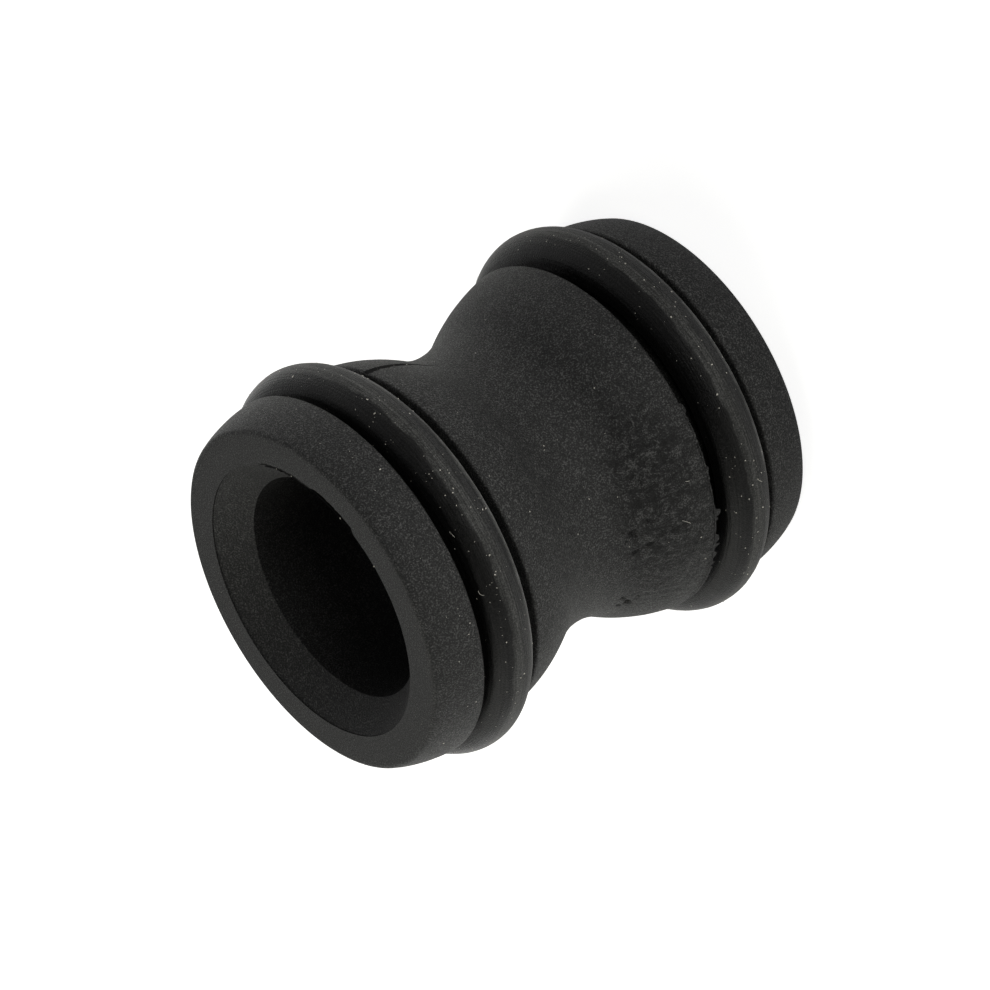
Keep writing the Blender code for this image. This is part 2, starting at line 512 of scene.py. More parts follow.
def flash_sliver(name, radius, height, azimuths, reach, lean, rag, flakes=()):
    """A thin ragged sliver of flash that hangs from an edge.

    It starts from a ring of points at that radius and height, cut down to an arc, and is drawn out by
    `reach` along Z and by `lean` across it. Noise makes its free edge ragged by up to `rag`, and each
    flake (azimuth, half width in degrees, length) hangs further down.
    """
    first, last = azimuths
    bpy.ops.object.select_all(action="DESELECT")
    bpy.ops.mesh.primitive_circle_add(vertices=FLASH_TURNS, radius=radius * MM, location=(0, 0, 0))
    piece = bpy.context.object
    rename(piece, name)
    bpy.ops.object.mode_set(mode="EDIT")
    select_points(piece, lambda point: not first < azimuth_of(point) < last)
    bpy.ops.mesh.delete(type="VERT")
    bpy.ops.mesh.select_all(action="SELECT")
    bpy.ops.transform.translate(value=(0, 0, height * MM))
    bpy.ops.mesh.extrude_region_move(TRANSFORM_OT_translate={"value": (0, 0, reach * MM)})
    scale = (radius + lean) / radius
    bpy.ops.transform.resize(value=(scale, scale, 1), center_override=(0, 0, 0))
    bpy.ops.object.mode_set(mode="OBJECT")
    free_edge = (height + reach) * MM

    def ragged(point):
        at_edge = abs(point.z - free_edge) < abs(reach) * MM / 2
        return within(azimuth_of(point), first, last) if at_edge else 0.0

    def hanging(point):
        longest = 0.0
        for azimuth, half_width, length in flakes:
            away = turn_between(azimuth, azimuth_of(point)) / half_width
            longest = max(longest, length * exp(-away ** 4))
        return longest if ragged(point) else 0.0

    displace(piece, "rag", ragged, depth=rag, noise="CLOUDS", size=0.25, direction="Z")
    if flakes:
        displace(piece, "flakes", hanging, depth=-1.0, direction="Z")
        displace(piece, "flake_rag", hanging, depth=0.5, noise="CLOUDS", size=0.2, direction="Z")
        displace(piece, "flake_curl", hanging, depth=0.5, noise="CLOUDS", size=0.5)
    wall = piece.modifiers.new("wall", "SOLIDIFY")
    wall.thickness = FLASH_WALL * MM
    wall.offset = 0.0
    bpy.ops.object.modifier_apply(modifier="wall")
    bpy.ops.object.mode_set(mode="EDIT")
    finish_mesh()
    return piece


def turn_ring(name, node):
    """An O-ring in its groove, with the slight waves of moulded rubber."""
    low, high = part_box(node)
    bpy.ops.object.select_all(action="DESELECT")
    bpy.ops.mesh.primitive_torus_add(
        location=(0, 0, (low.z + high.z) / 2),
        major_segments=RING_TURNS,
        minor_segments=RING_SECTION_TURNS,
        major_radius=RING_CENTRE_RADIUS * MM,
        minor_radius=RING_SECTION / 2 * MM,
    )
    ring = bpy.context.object
    rename(ring, name)
    bpy.ops.object.transform_apply(location=True, rotation=True, scale=True)
    bpy.ops.object.mode_set(mode="EDIT")
    finish_mesh()
    displace(ring, "rubber_wave", lambda point: 1.0, depth=0.02, noise="CLOUDS", size=2.5)
    return ring


def first_speck():
    """One flattened grain of dust at the origin, 1 mm across, to be copied."""
    bpy.ops.object.select_all(action="DESELECT")
    bpy.ops.mesh.primitive_ico_sphere_add(subdivisions=1, radius=0.5 * MM)
    bpy.ops.object.mode_set(mode="EDIT")
    bpy.ops.transform.resize(value=(1.0, 0.75, 0.55))
    bpy.ops.object.mode_set(mode="OBJECT")
    return bpy.context.object


def scatter_dust(name, places, rng):
    """Specks of dust at places of (point, facing, size), half sunk in the skin, joined to one piece."""
    original = first_speck()
    copies = []
    for point, facing, size in places:
        copy = original.copy()
        copy.data = original.data.copy()
        copy.location = point
        copy.rotation_mode = "QUATERNION"
        turn = Matrix.Rotation(rng.uniform(0, 2 * pi), 3, "Z").to_quaternion()
        copy.rotation_quaternion = facing.to_track_quat("Z", "Y") @ turn
        copy.scale = (size * rng.uniform(0.7, 1.5), size, size)
        bpy.context.scene.collection.objects.link(copy)
        copies.append(copy)
    bpy.data.objects.remove(original)
    bpy.ops.object.select_all(action="DESELECT")
    for copy in copies:
        copy.select_set(True)
    bpy.context.view_layer.objects.active = copies[0]
    bpy.ops.object.join()
    piece = bpy.context.object
    rename(piece, name)
    bpy.ops.object.transform_apply(location=True, rotation=True, scale=True)
    piece.rotation_mode = "XYZ"
    return piece


# Dust: its seed, how many specks, the smallest and the largest, and the middle and spread in degrees
# of where it lies round a ring's section
DUST_SEED = 7
DUST_COUNT = 780
DUST_SIZES = (0.055, 0.16)
DUST_ON_SECTION = (15, 45)

# A draw from 0 to 1 below these puts a speck there, and one above them all on the neck
ON_UPPER_RING = 0.42
ON_LOWER_RING = 0.78
ON_COLLAR = 0.84
ON_FACE = 0.88


def random_places(rng):
    """Places for dust all round the rings, and fewer on the neck, the upper collar and its end face."""
    smallest, largest = DUST_SIZES
    places = []
    for _ in range(DUST_COUNT):
        size = smallest + (largest - smallest) * rng.random() ** 3
        azimuth = rng.uniform(-180, 180)
        kind = rng.random()
        if kind < ON_UPPER_RING:
            spot = place_on_ring("o_ring_upper", azimuth, rng.gauss(*DUST_ON_SECTION))
        elif kind < ON_LOWER_RING:
            spot = place_on_ring("o_ring_lower", azimuth, rng.gauss(*DUST_ON_SECTION))
        elif kind < ON_COLLAR:
            spot = place_on_pipe(azimuth, rng.uniform(UPPER_RIM + GROOVE_WIDTH + 0.3, LENGTH - 1))
        elif kind < ON_FACE:
            radius = rng.uniform(MOUTH_RADIUS + 0.3, COLLAR_RADIUS - 1.8)
            spot = place_on_face(azimuth, radius, size * 0.2)
        else:
            spot = place_on_pipe(azimuth, rng.uniform(LOWER_RIM + 0.3, UPPER_RIM - 0.3))
        places.append((*spot, size))
    return places


FIBRE_THICKNESS = 0.032


def lint_fibre(name, points):
    """A curved hair of lint through points."""
    piece = start_piece(name)
    draw_path(points)
    bpy.ops.object.mode_set(mode="OBJECT")
    bpy.ops.object.convert(target="CURVE")
    curve = bpy.context.object
    curve.data.bevel_depth = FIBRE_THICKNESS / 2 * MM
    curve.data.bevel_resolution = 1
    curve.data.use_fill_caps = True
    bpy.ops.object.convert(target="MESH")
    piece = bpy.context.object
    rename(piece, name)
    bpy.ops.object.mode_set(mode="EDIT")
    finish_mesh(sharp_angle=60)
    return piece


def bent_between(start, end, bow, lift, steps=9):
    """Points from one place to another that bow sideways and stand a little off the skin."""
    (first, first_facing), (last, last_facing) = start, end
    facing = (first_facing + last_facing).normalized()
    side = (last - first).cross(facing).normalized()
    points = []
    for step in range(steps):
        share = step / (steps - 1)
        arch = 4 * share * (1 - share)
        off_skin = facing * (lift * (0.4 + 0.6 * arch)) * MM
        points.append(first.lerp(last, share) + side * bow * arch * MM + off_skin)
    return points


def linear(hex_colour):
    """sRGB hex colour to linear RGBA."""
    channels = [int(hex_colour[place:place + 2], 16) / 255 for place in (1, 3, 5)]
    return [c / 12.92 if c <= 0.04045 else ((c + 0.055) / 1.055) ** 2.4 for c in channels] + [1.0]


def per_mm(size):
    """Scale of a pattern whose features are that many millimetres apart, on coordinates in metres."""
    return 1 / (size * MM)


def add_node(tree, kind, inputs=None, **settings):
    """Add a shader node. An input takes a value, or a node or an output socket to be linked.

    Of a node, its first output is linked.
    """
    node = tree.nodes.new("ShaderNode" + kind)
    for name, value in settings.items():
        setattr(node, name, value)
    for name, value in (inputs or {}).items():
        if isinstance(value, bpy.types.Node):
            value = value.outputs[0]
        if isinstance(value, bpy.types.NodeSocket):
            tree.links.new(value, node.inputs[name])
        else:
            node.inputs[name].default_value = value
    return node


def new_material(name):
    """A new material, its node tree and its main shader."""
    material = bpy.data.materials.new(name)
    material.use_nodes = True
    return material, material.node_tree, material.node_tree.nodes["Principled BSDF"]


# How far apart the grains in the skin of the moulds are
GRAIN_SIZE = 0.12


def flat_and_radius(tree, place):
    """The place with its height taken as 0, and its distance from the axis."""
    flat = add_node(tree, "VectorMath", {0: place, 1: (1.0, 1.0, 0.0)}, operation="MULTIPLY")
    radius = add_node(tree, "VectorMath", {0: flat}, operation="LENGTH")
    return flat, radius.outputs["Value"]


def mould_grain(tree, place):
    """The fine grain that the eroded steel of the moulds leaves on nylon and rubber alike."""
    return add_node(tree, "TexNoise", {
        "Vector": place, "Scale": per_mm(GRAIN_SIZE), "Detail": 2.0, "Roughness": 0.6})


def moulded_nylon():
    """Glass-filled nylon moulded against an eroded steel mould: near black, matt and grained.

    The grain's hollows are darker and duller than its tops. Fibres close under the skin mottle it,
    rubbing has left pale wisps on the worn shoulder, and a painted shadow darkens the colour below
    the parting lines and along part of the mouth's edge, where the roughness is also raised.
    """
    material, tree, shader = new_material("glass_filled_nylon_moulded_matt")
    place = add_node(tree, "TexCoord").outputs["Object"]
    grain = mould_grain(tree, place)
    tops = add_node(tree, "MapRange", {"Value": grain, "From Min": 0.4, "From Max": 0.72})
    mottle = add_node(tree, "TexNoise", {
        "Vector": place, "Scale": per_mm(0.9), "Detail": 4.0, "Roughness": 0.65})
    blotch = add_node(tree, "MapRange", {
        "Value": mottle, "From Min": 0.3, "From Max": 0.7, "To Min": 0.05, "To Max": 0.25})
    worn = worn_mask(tree, place)
    drawn_out = add_node(tree, "VectorMath", {0: place, 1: (1.0, 1.0, 0.5)}, operation="MULTIPLY")
    wisps = add_node(tree, "TexNoise", {
        "Vector": drawn_out, "Scale": per_mm(0.9), "Detail": 5.0, "Roughness": 0.7, "Distortion": 1.2})
    wisp_tone = add_node(tree, "MapRange", {
        "Value": wisps, "From Min": 0.38, "From Max": 0.66, "To Min": -0.55, "To Max": 0.4})
    # Thin curled scratches run where the same pattern crosses its middle, in some places only
    crossing = add_node(tree, "Math", {0: wisps, 1: 0.5}, operation="SUBTRACT")
    nearness = add_node(tree, "Math", {0: crossing}, operation="ABSOLUTE")
    curls = add_node(tree, "MapRange", {
        "Value": nearness, "From Min": 0.0, "From Max": 0.02, "To Min": 0.75, "To Max": 0.0})
    places = add_node(tree, "MapRange", {"Value": mottle, "From Min": 0.5, "From Max": 0.6})
    scratches = add_node(tree, "Math", {0: curls, 1: places}, operation="MULTIPLY")
    wisp_sum = add_node(tree, "Math", {0: wisp_tone, 1: scratches}, operation="ADD")
    wisp_share = add_node(tree, "Math", {0: wisp_sum, 1: worn}, operation="MULTIPLY")
    grained = add_node(tree, "Math", {0: tops, 1: 0.9}, operation="MULTIPLY")
    tone = add_node(tree, "Math", {0: grained, 1: blotch}, operation="ADD")
    whole_tone = add_node(tree, "Math", {0: tone, 1: wisp_share}, operation="ADD")
    colour = add_node(tree, "ValToRGB", {"Fac": whole_tone})
    colour.color_ramp.elements[0].color = linear("#060606")
    colour.color_ramp.elements[1].color = linear("#474746")
    colour.color_ramp.elements.new(0.5).color = linear("#1d1d1d")
    # Painted shadow below the parting lines and along part of the mouth's edge: the colour is darkened
    # there and the roughness raised
    painted_shadow = add_node(tree, "Math", {
        0: parting_painted_shadow(tree, place), 1: mouth_edge_painted_shadow(tree, place)}, operation="MAXIMUM")
    unshadowed_share = add_node(tree, "Math", {0: 1.0, 1: painted_shadow}, operation="SUBTRACT")
    painted_shadow_colour = add_node(tree, "VectorMath", {0: colour, "Scale": unshadowed_share}, operation="SCALE")
    tree.links.new(painted_shadow_colour.outputs["Vector"], shader.inputs["Base Color"])
    rough = add_node(tree, "MapRange", {"Value": tops, "To Min": 0.62, "To Max": 0.42})
    painted_shadow_roughness = add_node(tree, "Math", {0: rough, 1: painted_shadow}, operation="ADD")
    tree.links.new(painted_shadow_roughness.outputs[0], shader.inputs["Roughness"])
    fine = add_node(tree, "Bump", {"Height": grain, "Strength": 1.0, "Distance": 0.07 * MM})
    wisp_height = add_node(tree, "Math", {0: wisps, 1: worn}, operation="MULTIPLY")
    scuffed = add_node(tree, "Bump", {
        "Height": wisp_height, "Strength": 0.9, "Distance": 0.2 * MM, "Normal": fine})
    tree.links.new(scuffed.outputs["Normal"], shader.inputs["Normal"])
    shader.inputs["IOR"].default_value = 1.53
    shader.inputs["Specular IOR Level"].default_value = 0.22
    return material


# Heights between which the painted shadow below a parting line lies and between which it widens, and its
# widths
PAINTED_SHADOW_ENDS = (20.4, 27.5)
PAINTED_SHADOW_WIDENS = (20.5, 27.2)
PAINTED_SHADOW_WIDTHS = (0.05, 0.85)


def parting_painted_shadow(tree, place):
    """1 in the painted shadow below each parting line, widest at the flared rim."""
    sideways = outward_at(PARTING_AZIMUTHS[0] + 90)
    across = add_node(tree, "VectorMath", {0: place, 1: sideways}, operation="DOT_PRODUCT")
    height = add_node(tree, "SeparateXYZ", {"Vector": place}).outputs["Z"]
    ragged = add_node(tree, "TexNoise", {"Vector": place, "Scale": per_mm(0.5), "Detail": 3.0})
    width = add_node(tree, "MapRange", {
        "Value": height, "From Min": PAINTED_SHADOW_WIDENS[0] * MM, "From Max": PAINTED_SHADOW_WIDENS[1] * MM,
        "To Min": PAINTED_SHADOW_WIDTHS[0] * MM, "To Max": PAINTED_SHADOW_WIDTHS[1] * MM})
    torn = add_node(tree, "Math", {0: width, 1: ragged}, operation="MULTIPLY")
    below = add_node(tree, "Math", {0: across.outputs["Value"], 1: -1.0}, operation="MULTIPLY")
    inside = add_node(tree, "Math", {0: torn, 1: below}, operation="SUBTRACT")
    edge = add_node(tree, "MapRange", {"Value": inside, "From Min": 0.0, "From Max": 0.12 * MM})
    start = add_node(tree, "MapRange", {
        "Value": below, "From Min": -0.06 * MM, "From Max": 0.02 * MM, "To Min": 0.0, "To Max": 0.92})
    on_neck = add_node(tree, "Math", {0: height, 1: PAINTED_SHADOW_ENDS[0] * MM}, operation="GREATER_THAN")
    under_rim = add_node(tree, "Math", {0: height, 1: PAINTED_SHADOW_ENDS[1] * MM}, operation="LESS_THAN")
    # The bore has no parting line
    _, radius = flat_and_radius(tree, place)
    outside = add_node(tree, "Math", {0: radius, 1: OUTSIDE_RADIUS * MM}, operation="GREATER_THAN")
    painted_shadow = edge
    for limit in (start, on_neck, under_rim, outside):
        painted_shadow = add_node(tree, "Math", {0: painted_shadow, 1: limit}, operation="MULTIPLY")
    return painted_shadow


# The broken line of painted shadow at the upper mouth's edge: its middle azimuth and half its length in
# degrees
MOUTH_SHADOW_AZIMUTH = -49
MOUTH_SHADOW_REACH = 29


def mouth_edge_painted_shadow(tree, place):
    """1 in the painted shadow along part of the upper mouth's edge, where the moulding tore."""
    _, radius = flat_and_radius(tree, place)
    ragged = add_node(tree, "TexNoise", {"Vector": place, "Scale": per_mm(0.4), "Detail": 3.0})
    off = add_node(tree, "Math", {0: radius, 1: MOUTH_RADIUS * MM}, operation="SUBTRACT")
    away = add_node(tree, "Math", {0: off}, operation="ABSOLUTE")
    width = add_node(tree, "Math", {0: ragged, 1: 0.3 * MM}, operation="MULTIPLY")
    inside = add_node(tree, "Math", {0: width, 1: away}, operation="SUBTRACT")
    line = add_node(tree, "MapRange", {"Value": inside, "From Min": 0.0, "From Max": 0.05 * MM})
    middle = outward_at(MOUTH_SHADOW_AZIMUTH)
    towards = add_node(tree, "VectorMath", {0: place, 1: middle}, operation="DOT_PRODUCT")
    ahead = add_node(tree, "Math", {0: towards.outputs["Value"], 1: radius}, operation="DIVIDE")
    along = add_node(tree, "MapRange", {
        "Value": ahead, "From Min": cos(radians(MOUTH_SHADOW_REACH)),
        "From Max": cos(radians(MOUTH_SHADOW_REACH - 4)), "To Max": 0.9})
    height = add_node(tree, "SeparateXYZ", {"Vector": place}).outputs["Z"]
    high = add_node(tree, "Math", {0: height, 1: (LENGTH - 0.35) * MM}, operation="GREATER_THAN")
    part = add_node(tree, "Math", {0: line, 1: along}, operation="MULTIPLY")
    return add_node(tree, "Math", {0: part, 1: high}, operation="MULTIPLY")


# Middle of the scuffed patch on the lower shoulder, and how far it reaches
SCUFF_CENTRE = (-122, 13.2)
SCUFF_REACH = 10.5


def worn_mask(tree, place):
    """1 in the middle of the scuffed patch and 0 beyond it, with a broken edge."""
    middle, _ = place_on_pipe(*SCUFF_CENTRE)
    away = add_node(tree, "VectorMath", {0: place, 1: middle}, operation="SUBTRACT")
    stretched = add_node(tree, "VectorMath", {0: away, 1: (1.0, 1.0, 2.6)}, operation="MULTIPLY")
    distance = add_node(tree, "VectorMath", {0: stretched}, operation="LENGTH")
    broken = add_node(tree, "TexNoise", {"Vector": place, "Scale": per_mm(2.2), "Detail": 3.0})
    shift = add_node(tree, "Math", {0: broken, 1: 6 * MM}, operation="MULTIPLY")
    edge = add_node(tree, "Math", {0: distance.outputs["Value"], 1: shift}, operation="ADD")
    return add_node(tree, "MapRange", {
        "Value": edge, "From Min": (SCUFF_REACH - 3) * MM, "From Max": (SCUFF_REACH + 4) * MM,
        "To Min": 1.0, "To Max": 0.0}, interpolation_type="SMOOTHSTEP")


# Tone round a ring's section from the neck's side to the collar's: dust with painted light and shade
RUBBER_DUST_AND_PAINTED_LIGHT_TONES = (
    (-62, "#757574"),
    (-46, "#434342"),
    (-32, "#1e1e1e"),
    (-12, "#1f1f1f"),
    (2, "#2e2e2d"),
    (19, "#2c2c2b"),
    (24, "#0c0c0c"),
    (90, "#0c0c0c"),
)


def seal_rubber(name, node):
    """Black nitrile rubber with a bloom of dust on its outer side, which ends at a worn line.

    Painted light and shade run round its section: lighter on the side that faces the neck and
    darker towards the collar. Fine lines with painted glints run along the ring, and towards the
    collar the rubber is free of dust, dark with painted shade and smoother.
    """
    material, tree, shader = new_material(name)
    place = add_node(tree, "TexCoord").outputs["Object"]
    angle, along = ring_coordinates(tree, place, node)
    sway = add_node(tree, "TexNoise", {
        "Vector": place, "Scale": per_mm(3.5), "Detail": 4.0, "Roughness": 0.6})
    turn = add_node(tree, "MapRange", {"Value": sway, "To Min": -16.0, "To Max": 16.0})
    shifted = add_node(tree, "Math", {0: angle, 1: turn}, operation="ADD")
    share = add_node(tree, "MapRange", {"Value": shifted, "From Min": -90.0, "From Max": 90.0})
    # Painted light and shade over the dust: the tone round the section is lighter towards the neck and
    # darker towards the collar
    tone = add_node(tree, "ValToRGB", {"Fac": share})
    ramp = tone.color_ramp
    for degree, colour in RUBBER_DUST_AND_PAINTED_LIGHT_TONES[1:-1]:
        ramp.elements.new((degree + 90) / 180).color = linear(colour)
    ramp.elements[0].position = (RUBBER_DUST_AND_PAINTED_LIGHT_TONES[0][0] + 90) / 180
    ramp.elements[0].color = linear(RUBBER_DUST_AND_PAINTED_LIGHT_TONES[0][1])
    ramp.elements[-1].color = linear(RUBBER_DUST_AND_PAINTED_LIGHT_TONES[-1][1])
    grain = mould_grain(tree, place)
    tops = add_node(tree, "MapRange", {
        "Value": grain, "From Min": 0.4, "From Max": 0.72, "To Min": 0.6, "To Max": 2.2})
    lines = add_node(tree, "TexNoise", {"Vector": along, "Scale": 1.0, "Detail": 3.0, "Roughness": 0.7})
    # Painted glints: the lines lighten and darken the rubber's colour as gloss along them would
    line_tone_with_painted_glints = add_node(tree, "MapRange", {
        "Value": lines, "From Min": 0.35, "From Max": 0.7, "To Min": 0.5, "To Max": 1.9})
    shade = add_node(tree, "Math", {0: tops, 1: line_tone_with_painted_glints}, operation="MULTIPLY")
    colour = add_node(tree, "VectorMath", {0: tone, "Scale": shade}, operation="SCALE")
    tree.links.new(colour.outputs["Vector"], shader.inputs["Base Color"])
    rough = add_node(tree, "MapRange", {
        "Value": shifted, "From Min": 10.0, "From Max": 30.0, "To Min": 0.42, "To Max": 0.3})
    tree.links.new(rough.outputs[0], shader.inputs["Roughness"])
    fine = add_node(tree, "Bump", {"Height": grain, "Strength": 1.0, "Distance": 0.055 * MM})
    lined = add_node(tree, "Bump", {
        "Height": lines, "Strength": 0.8, "Distance": 0.07 * MM, "Normal": fine})
    tree.links.new(lined.outputs["Normal"], shader.inputs["Normal"])
    shader.inputs["IOR"].default_value = 1.52
    shader.inputs["Specular IOR Level"].default_value = 0.15
    return material


# Lines on the rubber: how far apart they are, and how much of the ring they change over
LINE_SPACING = 0.14
LINE_LENGTH = 9


def ring_coordinates(tree, place, node):
    """The angle in degrees round a ring's section, and coordinates for lines that run along the ring."""
    low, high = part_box(node)
    centre_height = (low.z + high.z) / 2
    height = add_node(tree, "SeparateXYZ", {"Vector": place}).outputs["Z"]
    flat, radius = flat_and_radius(tree, place)
    out = add_node(tree, "Math", {0: radius, 1: RING_CENTRE_RADIUS * MM}, operation="SUBTRACT")
    rise = add_node(tree, "Math", {0: height, 1: centre_height}, operation="SUBTRACT")
    turn = add_node(tree, "Math", {0: rise, 1: out}, operation="ARCTAN2")
    angle = add_node(tree, "Math", {0: turn}, operation="DEGREES")
    across = add_node(tree, "Math", {
        0: turn, 1: RING_SECTION / 2 / LINE_SPACING}, operation="MULTIPLY")
    slow = add_node(tree, "VectorMath", {0: flat, "Scale": per_mm(LINE_LENGTH)}, operation="SCALE")
    joined = add_node(tree, "SeparateXYZ", {"Vector": slow})
    along = add_node(tree, "CombineXYZ", {
        "X": joined.outputs["X"], "Y": joined.outputs["Y"], "Z": across})
    return angle, along


def pale_lint():
    """Cotton lint and dust: pale grey and quite matt, bright only against the black."""
    material, tree, shader = new_material("cotton_lint_pale")
    place = add_node(tree, "TexCoord").outputs["Object"]
    fluff = add_node(tree, "TexNoise", {"Vector": place, "Scale": per_mm(0.3), "Detail": 2.0})
    colour = add_node(tree, "ValToRGB", {"Fac": fluff})
    colour.color_ramp.elements[0].color = linear("#8f8c84")
    colour.color_ramp.elements[1].color = linear("#d8d4ca")
    tree.links.new(colour.outputs["Color"], shader.inputs["Base Color"])
    shader.inputs["Roughness"].default_value = 0.9
    return material


def dress(piece, material, node=None):
    """Give a finished piece its material and its body, and hide the CAD node that it stands for."""
    piece.data.materials.clear()
    piece.data.materials.append(material)
    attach(piece, "root")
    if node:
        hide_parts(node)


# Camera, as the picture was taken: the pipe's axis runs away to the upper right
CAMERA_ELEVATION = 29.67
CAMERA_ROLL = -120.6
CAMERA_DISTANCE = 511.5
LENS = 246.3
SENSOR = 36.0
PICTURE = 990
CENTRE_IN_PICTURE = (497.5, 490.3)


def camera_axes():
    """Right, up and back of the camera, which looks along +Y from above and is rolled."""
    elevation, roll = radians(CAMERA_ELEVATION), radians(CAMERA_ROLL)
    back = Vector((0, -cos(elevation), sin(elevation)))
    level_up = Vector((0, sin(elevation), cos(elevation)))
    right = cos(roll) * Vector((1, 0, 0)) + sin(roll) * level_up
    return right, back.cross(right), back


def add_camera():
    """The camera, moved aside so that the pipe's middle is where the picture has it."""
    right, up, back = camera_axes()
    mm_per_pixel = CAMERA_DISTANCE / (LENS / SENSOR * PICTURE)
    across = (CENTRE_IN_PICTURE[0] - PICTURE / 2) * mm_per_pixel
    down = (CENTRE_IN_PICTURE[1] - PICTURE / 2) * mm_per_pixel
    eye = UP * HALF_LENGTH - across * right + down * up + CAMERA_DISTANCE * back
    camera_data = bpy.data.cameras.new("camera")
    camera_data.lens = LENS
    camera_data.sensor_width = SENSOR
    camera_data.clip_start = 0.01
    camera_data.clip_end = 10.0
    camera = bpy.data.objects.new("camera", camera_data)
    turn = Matrix((right, up, back)).transposed().to_4x4()
    camera.matrix_world = Matrix.Translation(eye * MM) @ turn
    bpy.context.scene.collection.objects.link(camera)
    bpy.context.scene.camera = camera


# Glow of the floor to the camera
FLOOR_WHITE = 0.84
# Glow as it lights the pipe and as it shows in gloss: the distances in millimetres between which it
# rises, and its levels in the pipe's shadow and beyond it
FLOOR_FILL = (20, 70, 0.6, 1.2)
FLOOR_GLOSS = (50, 120, 0.3, 0.85)


def add_floor():
    """A white floor that reads as pure white where it is lit, and keeps the pipe's soft shadow."""
    bpy.ops.object.select_all(action="DESELECT")
    bpy.ops.mesh.primitive_plane_add(size=4.0, location=(0, 0, 0))
    floor = bpy.context.object
    rename(floor, "studio_floor")
    material, tree, shader = new_material("white_paper_floor")
    shader.inputs["Base Color"].default_value = linear("#f4f4f4")
    shader.inputs["Roughness"].default_value = 0.9
    ray = add_node(tree, "LightPath")
    place = add_node(tree, "TexCoord").outputs["Object"]
    distance = add_node(tree, "VectorMath", {0: place}, operation="LENGTH")
    levels = []
    for start, end, low, high in (FLOOR_FILL, FLOOR_GLOSS):
        level = add_node(tree, "MapRange", {
            "Value": distance.outputs["Value"], "From Min": start * MM, "From Max": end * MM,
            "To Min": low, "To Max": high})
        levels.append(level)
    lighting = add_node(tree, "MapRange", {
        "Value": ray.outputs["Is Glossy Ray"], "To Min": levels[0], "To Max": levels[1]})
    strength = add_node(tree, "MapRange", {
        "Value": ray.outputs["Is Camera Ray"], "To Min": lighting, "To Max": FLOOR_WHITE})
    glow = add_node(tree, "Emission", {"Color": (1, 1, 1, 1), "Strength": strength})
    both = add_node(tree, "AddShader", {0: shader, 1: glow})
    tree.links.new(both.outputs[0], tree.nodes["Material Output"].inputs["Surface"])
    floor.data.materials.append(material)


# The unlit side of the studio, as a direction and the angles from it at which it starts and ends
DARK_SIDE = (0, -0.869, 0.495)
DARK_INNER = 54
DARK_OUTER = 84
WORLD_FILL = 0.02
WORLD_GLOSS = 0.85
# Behind the pipe the surroundings dim between two angles from that direction, to a share
BEHIND_START = 82
BEHIND_END = 104
BEHIND_SHARE = 0.6


def add_world():
    """White surroundings behind the pipe and in its gloss, with the unlit side of the studio in front."""
    world = bpy.data.worlds.new("studio")
    bpy.context.scene.world = world
    world.use_nodes = True
    tree = world.node_tree
    tree.nodes.clear()
    ray = add_node(tree, "LightPath")
    way = add_node(tree, "TexCoord").outputs["Generated"]
    facing = add_node(tree, "VectorMath", {0: way, 1: DARK_SIDE}, operation="DOT_PRODUCT")
    lit = add_node(tree, "MapRange", {
        "Value": facing.outputs["Value"],
        "From Min": cos(radians(DARK_OUTER)), "From Max": cos(radians(DARK_INNER)),
        "To Min": 1.0, "To Max": 0.0}, interpolation_type="SMOOTHSTEP")
    level = add_node(tree, "MapRange", {
        "Value": ray.outputs["Is Glossy Ray"], "To Min": WORLD_FILL, "To Max": WORLD_GLOSS})
    behind = add_node(tree, "MapRange", {
        "Value": facing.outputs["Value"],
        "From Min": cos(radians(BEHIND_END)), "From Max": cos(radians(BEHIND_START)),
        "To Min": BEHIND_SHARE, "To Max": 1.0})
    shaped = add_node(tree, "Math", {0: lit, 1: behind}, operation="MULTIPLY")
    shaded = add_node(tree, "Math", {0: shaped, 1: level}, operation="MULTIPLY")
    strength = add_node(tree, "Math", {
        0: shaded, 1: ray.outputs["Is Camera Ray"]}, operation="MAXIMUM")
    sky = add_node(tree, "Background", {"Color": (1, 1, 1, 1), "Strength": strength})
    out = add_node(tree, "OutputWorld")
    tree.links.new(sky.outputs[0], out.inputs["Surface"])


# Soft boxes: name, azimuth, elevation, power and colour. Their distance and size are in metres.
LAMPS = (
    ("front_soft_box", -86, 4, 1.32, "#ffffff"),
    ("lower_soft_box", -118, 8, 0.65, "#fffff2"),
    ("left_soft_box", 184, 10, 0.22, "#fffff2"),
    ("rear_soft_box", 135, 38, 0.5, "#fffff2"),
    ("top_soft_box", 120, 66, 1.22, "#fffff6"),
    ("mouth_soft_box", -28, 58, 0.18, "#ffffff"),
)
LAMP_DISTANCE = 0.6
LAMP_SIZE = 0.45


def add_lamp(name, azimuth, elevation, power, colour):
    """A round soft box that faces the pipe's middle."""
    lamp_data = bpy.data.lights.new(name, "AREA")
    lamp_data.shape = "DISK"
    lamp_data.size = LAMP_SIZE
    lamp_data.energy = power
    lamp_data.color = linear(colour)[:3]
    lamp = bpy.data.objects.new(name, lamp_data)
    towards = outward_at(azimuth) * cos(radians(elevation)) + UP * sin(radians(elevation))
    lamp.location = UP * HALF_LENGTH * MM + towards * LAMP_DISTANCE
    lamp.rotation_mode = "QUATERNION"
    lamp.rotation_quaternion = towards.to_track_quat("Z", "Y")
    bpy.context.scene.collection.objects.link(lamp)


nylon = moulded_nylon()
lint = pale_lint()

body = turn_body()
wear_body(body)
dress(body, nylon, "pipe_body")

